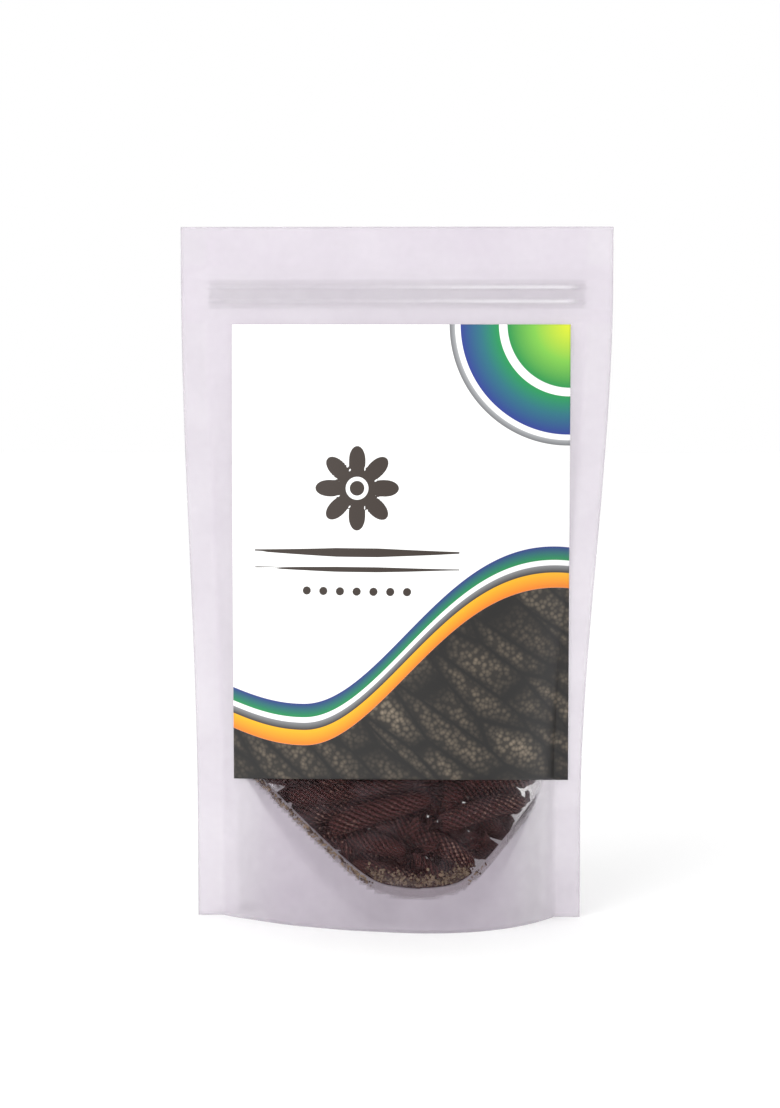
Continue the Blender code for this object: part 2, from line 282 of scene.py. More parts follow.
def relief(x, z, creases, seed):
    """How far the film stands off its smooth belly."""
    from_seal = np.minimum(x - left_edge(z), right_edge(z) - x) - SIDE_SEAL
    free = smoothstep(from_seal / SLACK_FROM_SEAL)
    creased = smoothstep(from_seal / CREASE_FROM_SEAL)
    lifted = smoothstep(from_seal / RIDGE_FROM_SEAL)
    total = ripple(x, z, seed) * free * smoothstep((pouch_height - z) / TAUT_BELOW_TOP)
    for start, end, height, half_width in creases:
        total = total + crease(x, z, start, end, height, half_width) * creased
    for offset, height in ZIP_RIDGES:
        stronger_right = grows_right(x, RIDGE_START, RIDGE_FAINTEST)
        total = total + height * zip_ridge(z, offset) * stronger_right * lifted
    line_height, line_relief, line_width = HEADER_LINE
    line = np.exp(-(((z - line_height) / line_width) ** 2))
    total = total + line_relief * line * lifted
    total = total - WELD_STEP * smoothstep((weld_height(x) - z) / WELD_STEP_WIDTH) * free
    # Down the sides and at the top edge the two panels are welded, and lie closer than their solids do.
    welded = 1 - smoothstep(from_seal / SEAL_SOFTENING) * smoothstep((pouch_height - z) / TOP_SEAL)
    return total - (MATING_GAP / 2 + FILM - SHELL) * welded


def grid_faces(rows, columns, closed):
    """The quads of a grid of points numbered along its rows. A closed grid's last column meets its first."""
    last_column = columns if closed else columns - 1
    row, column = np.meshgrid(np.arange(rows - 1), np.arange(last_column), indexing="ij")
    beside = (column + 1) % columns
    here, below = row * columns, (row + 1) * columns
    return np.stack([here + column, here + beside, below + beside, below + column], axis=-1).reshape(-1, 4)


def set_values(mesh, name, values):
    """Gives each of a mesh's points a value, for its material to read."""
    mesh.attributes.new(name, "FLOAT", "POINT").data.foreach_set("value", values)


def shell_mesh(name, outer, inner):
    """A closed thin shell between two grids of points, as rows of columns. The outer one faces out."""
    rows, columns = outer.shape[:2]
    front = grid_faces(rows, columns, closed=False)
    back = front[:, ::-1] + rows * columns
    number = np.arange(rows * columns).reshape(rows, columns)
    border = np.concatenate([number[0, :-1], number[:-1, -1], number[-1, :0:-1], number[:0:-1, 0]])
    beyond = np.roll(border, -1)
    rim = np.stack([border, border + rows * columns, beyond + rows * columns, beyond], axis=-1)
    mesh = bpy.data.meshes.new(name)
    points = np.concatenate([outer.reshape(-1, 3), inner.reshape(-1, 3)])
    mesh.from_pydata(points.tolist(), [], np.concatenate([front, back, rim]).tolist())
    bm = bmesh.new()
    bm.from_mesh(mesh)
    bmesh.ops.recalc_face_normals(bm, faces=bm.faces)
    bm.to_mesh(mesh)
    bm.free()
    mesh.shade_smooth()
    return mesh


def panel_grid(side, creases, seed, inset):
    """A panel's face as rows of points. inset is how far it lies inside the outer face."""
    finer = ZIP_HEIGHT + ZIP_FLANGE * np.linspace(-0.5, 0.5, ZIP_ROWS)
    heights = np.unique(np.concatenate([np.linspace(0.0, pouch_height, PANEL_ROWS), finer]))
    shares = np.linspace(0.0, 1.0, PANEL_COLUMNS)
    share, z = np.meshgrid(shares, heights)
    left, right = left_edge(z), right_edge(z)
    x = left + (right - left) * share
    depth = inner_depth(x, z) + FILM + relief(x, z, creases, seed) - inset
    return np.stack([x, side * depth, z], axis=-1)


FILM_TINT = "#e2dae4"
GLINT_TINT = "#fbf9fc"
DUST_TINT = "#6b4c4f"
SPECK_TINT = "#cdbab6"
CLOUD_SCALE, SPECK_SCALE, GRAIN_SCALE = 60.0, 1300.0, 2500.0
HAZE_FREE = 0.40
HAZE_PRESSED = 0.08
HAZE_GLINT = 0.45
HAZE_SPECK = 0.2
HAZE_GUSSET_END = 0.03
FILM_IOR = 1.35
FILM_TRANSMISSION = 0.5


def frosted_film_material():
    """Frosted laminate: a lilac-grey haze, thinner where something presses on it, and a soft sheen."""
    material, tree, shader = new_material("frosted_laminate_film")
    place = add_node(tree, "ShaderNodeNewGeometry", {}, "Position")
    contact = attribute(tree, "contact")
    cloud = noise(tree, place, CLOUD_SCALE, 3.0)
    uneven = ramp(tree, cloud, 0.3, 0.7, 0.88, 1.12)
    haze = ramp(tree, contact, 0.0, 1.0, HAZE_FREE, HAZE_PRESSED)
    haze = combined(tree, "MULTIPLY", haze, uneven)
    # Dust of the spice clings to the film's inside where the spikes rub on it, with paler specks in it.
    speck = noise(tree, place, SPECK_SCALE, 2.0)
    speck = ramp(tree, speck, 0.68, 0.74)
    colour = mixed(tree, contact, linear(FILM_TINT), linear(DUST_TINT))
    dust = combined(tree, "MULTIPLY", speck, contact)
    colour = mixed(tree, dust, colour, linear(SPECK_TINT))
    dust = combined(tree, "MULTIPLY", dust, HAZE_SPECK)
    haze = combined(tree, "ADD", haze, dust)
    # A painted highlight along the crests of the zip's ridges: the film is paler and hazier there.
    glint = attribute(tree, "painted_zip_glint")
    colour = mixed(tree, glint, colour, linear(GLINT_TINT))
    glint_haze = combined(tree, "MULTIPLY", glint, HAZE_GLINT)
    haze = combined(tree, "ADD", haze, glint_haze)
    # The gusset thins out of sight towards its ends, where it is folded flat into the side seals.
    fading = attribute(tree, "fading")
    fading = ramp(tree, fading, 0.0, 1.0, 1.0, HAZE_GUSSET_END)
    haze = combined(tree, "MULTIPLY", haze, fading)
    grain = noise(tree, place, GRAIN_SCALE, 1.0)
    bump = add_node(tree, "ShaderNodeBump", {"Height": grain, "Strength": 0.12, "Distance": 0.0002})
    tree.links.new(haze, shader.inputs["Alpha"])
    tree.links.new(bump, shader.inputs["Normal"])
    tree.links.new(colour, shader.inputs["Base Color"])
    shader.inputs["Roughness"].default_value = 0.32
    shader.inputs["IOR"].default_value = FILM_IOR
    shader.inputs["Transmission Weight"].default_value = FILM_TRANSMISSION
    return material


film_finish = frosted_film_material()
panels = []
for panel_name, side, creases in (("front_film", -1, FRONT_CREASES), ("back_film", 1, BACK_CREASES)):
    outer = panel_grid(side, creases, RIPPLE_SEEDS[side], 0.0)
    inner = panel_grid(side, creases, RIPPLE_SEEDS[side], SHELL)
    mesh = shell_mesh(f"{panel_name}_frosted", outer, inner)
    panel = add_object(f"{panel_name}_frosted", mesh, film_finish)
    panels.append(panel)
    # The painted highlight along the zip's ridges, for the material to read.
    glint_values = np.tile(painted_zip_glint(outer[..., 0], outer[..., 2]).ravel(), 2)
    set_values(mesh, "painted_zip_glint", glint_values)
    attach(panel, "root")
    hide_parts(panel_name)

# Bottom gusset
# The same film, folded into a W between the panels. Its flanges are welded to the skirts below the curved
# weld, and above it the web folds over and drops to a flat spot that the pouch stands on.

FLANGE_GAP = 0.0004
GUSSET_FOLD_WIDTH = 0.0011
GUSSET_FLAT_HALF = 0.012
GUSSET_FLAT_SHARE = 0.45
GUSSET_CLIMB_POWER = 1.5
GUSSET_END = 0.0045
GUSSET_COLUMNS = 92
WEB_ROWS = 44
FLANGE_ROWS = 10
GUSSET_FADE = 0.016
FOLD_ROWS = 5


def gusset_ends():
    left = left_edge(SKIRT) + SIDE_SEAL + GUSSET_END
    right = right_edge(SKIRT) - SIDE_SEAL - GUSSET_END
    return left, right


def flange_depth(x, z):
    """How far the gusset's flange is from the pouch's middle plane."""
    step = SIDE_SEAL / 100
    lean = (bulge(x + step, z) - bulge(x - step, z)) / (2 * step)
    return inner_depth(x, z) + FILM / 2 - (FILM + FLANGE_GAP) * np.sqrt(1 + lean**2)


def gusset_half_depth(x):
    return flange_depth(x, weld_height(x)) - GUSSET_FOLD_WIDTH


def gusset_height(x, across):
    """Height of the gusset's web, where across runs from -1 at the front weld to 1 at the back."""
    left, right = gusset_ends()
    from_middle = x - GUSSET_MIDDLE
    reach = np.where(from_middle < 0, GUSSET_MIDDLE - left, right - GUSSET_MIDDLE)
    end_height = np.where(from_middle < 0, weld_height(left), weld_height(right))
    climb = np.clip((np.abs(from_middle) - GUSSET_FLAT_HALF) / (reach - GUSSET_FLAT_HALF), 0.0, 1.0)
    middle = np.minimum(end_height * climb**GUSSET_CLIMB_POWER, weld_height(x))
    outer = np.clip((np.abs(across) - GUSSET_FLAT_SHARE) / (1 - GUSSET_FLAT_SHARE), 0.0, 1.0)
    return SHELL / 2 + middle + (weld_height(x) - middle) * outer**2


def gusset_section(x):
    """The gusset's cross-section at x, as (depth, height) from the front flange's foot to the back one's."""
    weld = weld_height(x)
    flange_z = np.linspace(SHELL / 2, weld, FLANGE_ROWS)
    flange = np.stack([-flange_depth(x, flange_z), flange_z], axis=-1)
    turn = np.linspace(math.pi, 0.0, FOLD_ROWS + 2)[1:-1]
    half = GUSSET_FOLD_WIDTH / 2
    fold_depth = -flange_depth(x, weld) + half + half * np.cos(turn)
    fold = np.stack([fold_depth, weld + half * np.sin(turn)], axis=-1)
    across = np.linspace(-1.0, 1.0, WEB_ROWS)
    web = np.stack([across * gusset_half_depth(x), gusset_height(x, across)], axis=-1)
    front = np.concatenate([flange, fold])
    back = front[::-1] * (-1, 1)
    return np.concatenate([front, web, back])


def gusset_mesh():
    """The gusset as a thin shell round its middle surface, kept above the floor."""
    left, right = gusset_ends()
    stations = np.linspace(left, right, GUSSET_COLUMNS)
    sections = np.stack([gusset_section(x) for x in stations])
    x = np.broadcast_to(stations[:, None, None], (*sections.shape[:2], 1))
    points = np.concatenate([x, sections], axis=-1)
    facing = np.cross(np.gradient(points, axis=0), np.gradient(points, axis=1))
    half_shell = facing / np.sqrt((facing**2).sum(axis=-1, keepdims=True)) * SHELL / 2
    ground = (-math.inf, -math.inf, 0.0)
    outer, inner = (np.maximum(points + half, ground) for half in (half_shell, -half_shell))
    return shell_mesh("bottom_gusset_frosted", outer, inner)


gusset = add_object("bottom_gusset_frosted", gusset_mesh(), film_finish)
from_end = [min(v.co.x - gusset_ends()[0], gusset_ends()[1] - v.co.x) for v in gusset.data.vertices]
fading = 1 - smoothstep(np.array(from_end) / GUSSET_FADE)
set_values(gusset.data, "fading", fading)
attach(gusset, "root")
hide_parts("bottom_gusset")

# Zip
# Two extruded polyethylene strips, welded inside the header: a rib that snaps between two lips. Seen
# through the film as a band that is a little denser than what is round it.

ZIP_TINT = "#efeaf1"
ZIP_HAZE = 0.05


def zip_material():
    """Natural polyethylene: milky, with a soft gloss and the extruder's lines along it."""
    material, tree, shader = new_material("extruded_polyethylene")
    place = add_node(tree, "ShaderNodeNewGeometry", {}, "Position")
    drawn_out = add_node(tree, "ShaderNodeMapping", {"Vector": place, "Scale": (20.0, 900.0, 900.0)})
    lines = noise(tree, drawn_out, 1.0, 2.0)
    bump = add_node(tree, "ShaderNodeBump", {"Height": lines, "Strength": 0.3, "Distance": 0.0002})
    tree.links.new(bump, shader.inputs["Normal"])
    shader.inputs["Base Color"].default_value = linear(ZIP_TINT)
    shader.inputs["Roughness"].default_value = 0.3
    shader.inputs["Alpha"].default_value = ZIP_HAZE
    return material


zip_finish = zip_material()
for strip in ("zip_rib", "zip_groove"):
    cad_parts[strip].data.materials.clear()
    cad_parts[strip].data.materials.append(zip_finish)

# Label
# A coated white paper sticker, 102 by 135 mm, stuck to the front panel. It is printed in greens, blue,
# grey, orange and brown: rings in one corner, a rosette, and a wave of bands over a panel of drawn spikes.

LABEL_LEFT, LABEL_RIGHT = -0.04945, 0.05225
LABEL_FOOT, LABEL_HEAD = 0.0462, 0.1808
LABEL_FOOT_DROP = 0.165
LABEL_GAP = 0.0005
LABEL_SHEET = 0.0002
LABEL_COLUMNS = 160
LABEL_ROWS = 216
EDGE_LIFT, EDGE_LIFT_REACH = 0.00015, 0.0025


def label_grid(inset):
    """The label's face as rows of points. Its lower edge droops a little where the pouch is less full."""
    share, climb = np.meshgrid(np.linspace(0.0, 1.0, LABEL_COLUMNS), np.linspace(0.0, 1.0, LABEL_ROWS))
    x = LABEL_LEFT + (LABEL_RIGHT - LABEL_LEFT) * share
    foot = LABEL_FOOT - LABEL_FOOT_DROP * (belly_depth(LABEL_FOOT) - bulge(x, LABEL_FOOT))
    z = foot + (LABEL_HEAD - foot) * climb
    to_side = np.minimum(x - LABEL_LEFT, LABEL_RIGHT - x)
    to_edge = np.minimum(to_side, np.minimum(z - foot, LABEL_HEAD - z))
    lift = EDGE_LIFT * np.exp(-to_edge / EDGE_LIFT_REACH)
    depth = inner_depth(x, z) + FILM + LABEL_GAP + LABEL_SHEET + lift - inset
    return np.stack([x, -depth, z], axis=-1)


# The print is laid out in mm across and up from the label's lower left corner.
MM = 0.001
PRINT_WIDTH, PRINT_HEIGHT = (LABEL_RIGHT - LABEL_LEFT) / MM, (LABEL_HEAD - LABEL_FOOT) / MM
WAVE_LOW, WAVE_RISE, WAVE_SWAY = 14, 44, 5
WAVE_START, WAVE_RUN, WAVE_TURNS, WAVE_PHASE = 0.22, 0.8, 1.05, 0.55
ROSETTE_ACROSS, ROSETTE_UP = 38, 86
PETAL_REACH, PETAL_WAIST, PETAL_SHAPE, PETAL_FOOT = 12.5, 0.35, 0.7, 3.4
EYE_RADIUS = 2.2
RULES = ((67, 1.3), (62, 0.75))
RULE_HALF, RULE_TAPER = 31, 1.2
DOTS_UP, DOT_SPACING, DOT_RADIUS, DOTS_HALF = 55.5, 5.0, 1.25, 17.5
FAR_OUTSIDE = 2.0


def rings_field(across, up):
    """Distance from the label's top right corner, in mm."""
    return np.hypot(across - PRINT_WIDTH, up - PRINT_HEIGHT)


def wave_field(across, up):
    """Height above the wave's lower line, in mm."""
    share = across / PRINT_WIDTH
    rise = WAVE_RISE * smoothstep((share - WAVE_START) / WAVE_RUN)
    return up - (WAVE_LOW + rise + WAVE_SWAY * np.sin(math.tau * (share * WAVE_TURNS + WAVE_PHASE)))


def emblem_field(across, up):
    """Distance outside the rosette, its rules and its dots, in mm. Inside them it is negative."""
    dx, dy = across - ROSETTE_ACROSS, up - ROSETTE_UP
    radius, turn = np.hypot(dx, dy), np.arctan2(dy, dx)
    petal = np.abs(np.cos(4 * turn)) ** PETAL_SHAPE
    petals = np.maximum(radius - PETAL_REACH * (PETAL_WAIST + (1 - PETAL_WAIST) * petal), PETAL_FOOT - radius)
    taper = np.clip(RULE_TAPER - np.abs(dx) / RULE_HALF, 0.0, 1.0)
    (upper, thick), (lower, thin) = RULES
    rules = np.minimum(np.abs(up - upper) - thick * taper, np.abs(up - lower) - thin * taper)
    rules = np.where(np.abs(dx) > RULE_HALF, FAR_OUTSIDE, rules)
    from_dot = (dx + DOT_SPACING / 2) % DOT_SPACING - DOT_SPACING / 2
    dots = np.hypot(from_dot, up - DOTS_UP) - DOT_RADIUS
    dots = np.where(np.abs(dx) < DOTS_HALF, dots, FAR_OUTSIDE)
    return np.minimum(np.minimum(petals, radius - EYE_RADIUS), np.minimum(rules, dots))


# Each layer of print: its field, the mm that the field is shifted by, the mm that its ramp spans, and its
# inks along the ramp as (mm, colour, opacity).
WAVE_FOOT, WAVE_SPAN = 2.0, 16.0
PRINT_LAYERS = (
    (
        "rings",
        rings_field,
        0.0,
        40.0,
        (
            (0.0, "#d9e021", 1),
            (11.0, "#7ac143", 1),
            (19.0, "#0c8a43", 1),
            (19.1, "#ffffff", 0),
            (21.4, "#ffffff", 0),
            (21.5, "#12924a", 1),
            (27.0, "#1a6b7a", 1),
            (33.0, "#20338c", 1),
            (33.1, "#ffffff", 0),
            (34.6, "#ffffff", 0),
            (34.7, "#a7a9ac", 1),
            (36.3, "#6d6e71", 1),
            (36.4, "#ffffff", 0),
        ),
    ),
    (
        "wave",
        wave_field,
        WAVE_FOOT,
        WAVE_SPAN,
        (
            (0.0, "#000000", 0),
            (WAVE_FOOT, "#000000", 0),
            (2.1, "#ef7d1a", 1),
            (6.6, "#f9b512", 1),
            (6.7, "#2e2a29", 1),
            (8.8, "#8a8b8d", 1),
            (8.9, "#ffffff", 1),
            (10.4, "#ffffff", 1),
            (10.5, "#128a4a", 1),
            (14.5, "#23307f", 1),
            (14.6, "#ffffff", 0),
        ),
    ),
    ("emblem", emblem_field, 1.0, 2.0, ((0.0, "#33271f", 1), (0.96, "#33271f", 1), (1.04, "#33271f", 0))),
)
PAPER_WHITE = "#fdfdfc"
SHADOW_INK = "#0f0c0a"
SPIKE_INKS = ("#5d5245", "#a3937e")
DRAWN_LENGTH, DRAWN_WIDTH, DRAWN_TURN, DRAWN_KNOB = 30, 8, 0.7, 1.3


def printed_label_material():
    """Coated paper, white and smooth with a soft gloss, printed in flat inks, blends and drawn spikes."""
    material, tree, shader = new_material("printed_coated_paper")
    place = add_node(tree, "ShaderNodeAttribute", {}, "Vector", attribute_name="print_place")
    # Drawn spikes: cells 30 mm long and 8 mm wide that lie aslant, with knobs 1.3 mm apart.
    turned = add_node(tree, "ShaderNodeMapping", {"Vector": place, "Rotation": (0.0, 0.0, DRAWN_TURN)})
    cell_scale = (1 / DRAWN_LENGTH, 1 / DRAWN_WIDTH, 1.0)
    cells = add_node(tree, "ShaderNodeMapping", {"Vector": turned, "Scale": cell_scale})
    cells = {"Vector": cells, "Scale": 1.0}
    edge = add_node(tree, "ShaderNodeTexVoronoi", cells, "Distance", feature="DISTANCE_TO_EDGE")
    shade = add_node(tree, "ShaderNodeTexVoronoi", cells, "Color")
    knobs = add_node(tree, "ShaderNodeTexVoronoi", {"Vector": turned, "Scale": 1 / DRAWN_KNOB}, "Distance")
    body = ramp(tree, edge, 0.02, 0.4)
    knob = ramp(tree, knobs, 0.0, 0.7, 1.0, 0.12)
    light = combined(tree, "MULTIPLY", body, knob)
    darker, paler = (linear(ink) for ink in SPIKE_INKS)
    tone = mixed(tree, shade, darker, paler)
    colour = mixed(tree, light, linear(SHADOW_INK), tone)
    height = attribute(tree, "wave")
    wave_line = (WAVE_FOOT + 0.05) / WAVE_SPAN
    above = combined(tree, "GREATER_THAN", height, wave_line)
    colour = mixed(tree, above, colour, linear(PAPER_WHITE))
    for layer, _, _, span, inks in PRINT_LAYERS:
        field = attribute(tree, layer)
        ink = add_node(tree, "ShaderNodeValToRGB", {"Fac": field}, "Color")
        stops = ink.node.color_ramp.elements
        for index, (at, hue, opacity) in enumerate(inks):
            stop = stops[index] if index < 2 else stops.new(at / span)
            stop.position = at / span
            stop.color = (*linear(hue)[:3], opacity)
        opacity = ink.node.outputs["Alpha"]
        colour = mixed(tree, opacity, colour, ink)
    fibre = noise(tree, place, 1.5, 3.0)
    bump = add_node(tree, "ShaderNodeBump", {"Height": fibre, "Strength": 0.08, "Distance": 0.0001})
    tree.links.new(colour, shader.inputs["Base Color"])
    tree.links.new(bump, shader.inputs["Normal"])
    shader.inputs["Roughness"].default_value = 0.4
    return material


face = label_grid(0.0)
label_mesh = shell_mesh("front_label_printed", face, label_grid(LABEL_SHEET))
across = (face[..., 0] - LABEL_LEFT) / MM
up = (face[..., 2] - LABEL_FOOT) / MM
for layer, field, shift, span, _ in PRINT_LAYERS:
    values = np.clip((field(across, up) + shift) / span, -0.2, 1.2).ravel()
    set_values(label_mesh, layer, np.tile(values, 2))
place = np.stack([across, up, np.zeros_like(up)], axis=-1).ravel()
print_place = label_mesh.attributes.new("print_place", "FLOAT_VECTOR", "POINT")
print_place.data.foreach_set("vector", np.tile(place, 2))
label = add_object("front_label_printed", label_mesh, printed_label_material())
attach(label, "root")
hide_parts("front_label")

# Dried long pepper spikes
# Each is a dried catkin, 30 to 42 mm long and 6 to 7 mm thick: a short stalk, and a core that hundreds of
# fruits the size of poppy seeds crowd round in steep spirals. Dark brown and matte, paler where rubbed.

SPIKE_RADIUS = 0.0034
SPIKE_BEND = 0.0010
STALK_LENGTH = 0.0035
STALK_RADIUS = 0.0008
STALK_END = 1.1 * STALK_LENGTH
FRUIT_RELIEF = 0.22
FRUITS_AROUND = 10
FRUIT_PITCH = 0.0021
FRUIT_TWIST = 0.35
FRUIT_WANDER = 0.35
KNOB_ALLOWANCE = 1.07
# A spike's thickness: where it is widest, how blunt its ends are, and how it tapers towards its tip.
GIRTH_WIDEST, GIRTH_BLUNTNESS = 0.46, 4.5
GIRTH_AT_STALK, GIRTH_TAPER = 1.04, 0.22
SPIKE_SIDES = 40
SPIKE_RINGS = 60
SPIKE_SEEDS = (1, 2)
SAME_POINT = 1e-7
# The first colour is painted shade in the grooves between the fruits.
GROOVE_SHADE_BROWN = "#1a0c0b"
FRUIT_BROWN = "#4a2928"
RUBBED_BROWN = "#b09080"
BLOTCH_SCALE, RUB_SCALE = 90.0, 1400.0


def girth(place):
    """A spike's thickness, as a share of its radius, at a place from 0 at the stalk to 1 at the tip."""
    rounded = 1 - np.abs(2 * place - 2 * GIRTH_WIDEST) ** GIRTH_BLUNTNESS
    return np.sqrt(np.maximum(rounded, 0.0)) * (GIRTH_AT_STALK - GIRTH_TAPER * place)


def bend(place):
    return SPIKE_BEND * (1 - (2 * place - 1) ** 2)


def spike_mesh(length, seed):
    """A spike along X, with its fruits as knobs. The attribute knob is 0 in the grooves and 1 on top."""
    rng = np.random.default_rng(seed)
    stalk = -STALK_LENGTH / length
    body = np.linspace(0.004, 0.996, SPIKE_RINGS)
    places = np.concatenate([[stalk, stalk, stalk / 2, 0.0], body, [1.0]])
    thickness = SPIKE_RADIUS / (1 + FRUIT_RELIEF / 2) * KNOB_ALLOWANCE * girth(body)
    radii = np.concatenate([[0.0, STALK_RADIUS, STALK_RADIUS * 0.85, STALK_RADIUS], thickness, [0.0]])
    turn = np.linspace(0.0, math.tau, SPIKE_SIDES, endpoint=False)
    place, angle = np.meshgrid(places, turn, indexing="ij")
    along = place * length
    wander = np.sin(angle * 2 + rng.uniform(0, 6)) * np.sin(along / length * 9 + rng.uniform(0, 6))
    wander = FRUIT_WANDER * wander
    around = FRUITS_AROUND * angle + FRUIT_TWIST * along / FRUIT_PITCH + wander
    lengthwise = math.tau * along / FRUIT_PITCH + wander
    knob = 0.5 + 0.5 * np.cos(around) * np.cos(lengthwise)
    on_body = ((place > 0.0) & (place < 1.0)).astype(float)
    sunken = 0.06 * np.sin(angle + rng.uniform(0, 6))
    sunken = sunken + 0.05 * np.sin(angle * 3 + along * 300 + rng.uniform(0, 6))
    radius = radii[:, None] * (1 + on_body * (FRUIT_RELIEF * (knob**0.8 - 0.5) + 0.5 * sunken))
    sideways, upward = radius * np.cos(angle), radius * np.sin(angle) + bend(place)
    points = np.stack([(place - 0.5) * length, sideways, upward], axis=-1)
    mesh = bpy.data.meshes.new("spike")
    faces = grid_faces(len(places), SPIKE_SIDES, closed=True)
    bm = bmesh.new()
    layer = bm.verts.layers.float.new("knob")
    made = []
    for at, height in zip(points.reshape(-1, 3), (knob * on_body).ravel()):
        vertex = bm.verts.new(at)
        vertex[layer] = height
        made.append(vertex)
    for corners in faces:
        bm.faces.new([made[corner] for corner in corners])
    bmesh.ops.remove_doubles(bm, verts=bm.verts, dist=SAME_POINT)
    bmesh.ops.recalc_face_normals(bm, faces=bm.faces)
    bm.to_mesh(mesh)
    bm.free()
    mesh.shade_smooth()
    return mesh


def dried_spike_material():
    """Dried plant matter: no gloss, painted shade darkening the grooves between the fruits, and fruits that
    are browner and paler on top.
    """
    material, tree, shader = new_material("dried_long_pepper")
    knob = attribute(tree, "knob")
    place = add_node(tree, "ShaderNodeNewGeometry", {}, "Position")
    blotch = noise(tree, place, BLOTCH_SCALE, 4.0)
    speck = noise(tree, place, RUB_SCALE, 2.0)
    # Painted shade: the grooves between the fruits are painted near black, and the fruits' own brown shows on
    # their tops.
    fruit = ramp(tree, knob, 0.3, 0.8, interpolation_type="SMOOTHSTEP")
    brown = mixed(tree, fruit, linear(GROOVE_SHADE_BROWN), linear(FRUIT_BROWN))
    worn = combined(tree, "MULTIPLY", knob, blotch)
    worn = combined(tree, "MULTIPLY", worn, speck)
    worn = ramp(tree, worn, 0.2, 0.42)
    colour = mixed(tree, worn, brown, linear(RUBBED_BROWN))
    bump = add_node(tree, "ShaderNodeBump", {"Height": speck, "Strength": 0.5, "Distance": 0.0003})
    tree.links.new(colour, shader.inputs["Base Color"])
    tree.links.new(bump, shader.inputs["Normal"])
    shader.inputs["Roughness"].default_value = 0.82
    shader.inputs["Specular IOR Level"].default_value = 0.12
    return material


def lie_of(node):
    """How a spike's solid lies: its middle, and its own axes, X from stalk to tip and Z towards its bend."""
    points = np.array([vertex.co for vertex in node.data.vertices])
    spread = points - points.mean(axis=0)
    axis = np.linalg.svd(spread, full_matrices=False)[2][0]
    along = (spread * axis).sum(axis=1)
    low_end = points[along < along.min() + STALK_END]
    high_end = points[along > along.max() - STALK_END]
    wide_low, wide_high = [
        np.ptp(end - np.outer((end * axis).sum(axis=1), axis), axis=0).max() for end in (low_end, high_end)
    ]
    if wide_high < wide_low:
        axis, along = -axis, -along
    stalk_end = points[along < along.min() + STALK_RADIUS / 2].mean(axis=0)
    tip = points[along.argmax()]
    chord = tip - stalk_end
    reach = math.sqrt((chord**2).sum())
    axis = chord / reach
    length = reach - STALK_LENGTH
    middle_ring = points[np.abs(along - (along.min() + along.max()) / 2) < length / 6]
    aside = middle_ring.mean(axis=0) - stalk_end
    aside = aside - axis * (aside * axis).sum()
    towards = aside / math.sqrt((aside**2).sum())
    origin = stalk_end + axis * (STALK_LENGTH + length / 2)
    return origin, axis, np.cross(towards, axis), towards, round(length, 3)


def place_spike(name, mesh, origin, x_axis, y_axis, z_axis):
    """Puts a spike or a piece of one at its place among the fill."""
    made = bpy.data.objects.new(name, mesh)
    turn = Matrix((x_axis, y_axis, z_axis)).transposed().to_4x4()
    made.matrix_world = Matrix.Translation(origin) @ turn
    bpy.context.scene.collection.objects.link(made)
    if not mesh.materials:
        mesh.materials.append(spike_finish)
    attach(made, "root")
    return made


spike_finish = dried_spike_material()
spike_nodes = sorted(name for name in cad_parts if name.startswith("pepper_"))
spike_lies = [lie_of(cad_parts[name]) for name in spike_nodes]
spike_lengths = sorted({lie[4] for lie in spike_lies})
spike_meshes = {(length, seed): spike_mesh(length, seed) for length in spike_lengths for seed in SPIKE_SEEDS}
for number, (node, (origin, x_axis, y_axis, z_axis, length)) in enumerate(zip(spike_nodes, spike_lies)):
    mesh = spike_meshes[length, SPIKE_SEEDS[number % len(SPIKE_SEEDS)]]
    spike = place_spike(f"{node}_dried", mesh, origin, x_axis, y_axis, z_axis)
    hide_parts(node)

# The rest of the fill
# The solids hold as many spikes as they can, and the real pouch holds about twice as many. These are
# dropped on top one by one, each where it comes to rest lowest of the places tried.

MORE_SPIKES = 46
SEED = 23
TRIES = 400
NUDGES = 100
NUDGE_SCALES = (1.0, 0.5)
NUDGE_SHIFT = 0.003
NUDGE_TURN = 0.25
LARGEST_TILT = math.radians(35)
SPACING = 0.0004
WALL_SPACING = 0.0008
SPHERE_MARGIN = 0.0002
SPHERES_ALONG = 12
SKIN_TURNS, SKIN_RISES = 8, (-0.3, 0.3)


def spike_spheres(length):
    """A spike as a row of spheres that enclose it: places along X, offsets along Z, and radii."""
    body = np.linspace(0.06, 0.95, SPHERES_ALONG)
    stalk = -STALK_LENGTH / length
    places = np.concatenate([[0.9 * stalk, 0.4 * stalk], body, [1.0]])
    radii = SPIKE_RADIUS * KNOB_ALLOWANCE * girth(body)
    radii = np.concatenate([[STALK_RADIUS, STALK_RADIUS], radii, [0.0]]) + SPHERE_MARGIN
    return (places - 0.5) * length, bend(places), radii


def spike_axes(heading, tilt, roll):
    """A dropped spike's own axes."""
    turn = Matrix.Rotation(heading, 3, "Z") @ Matrix.Rotation(-tilt, 3, "Y") @ Matrix.Rotation(roll, 3, "X")
    return turn.col


def posed_spheres(along, lift, poses):
    """The spheres' centres for each pose, a row of (x, y, heading, tilt, roll), at a height of 0."""
    x, y, heading, tilt, roll = (column[:, None] for column in poses.T)
    sideways = -lift * np.sin(roll)
    upward = lift * np.cos(roll)
    outward = along * np.cos(tilt) - upward * np.sin(tilt)
    px = x + outward * np.cos(heading) - sideways * np.sin(heading)
    py = y + outward * np.sin(heading) + sideways * np.cos(heading)
    pz = along * np.sin(tilt) + upward * np.cos(tilt)
    return px, py, pz


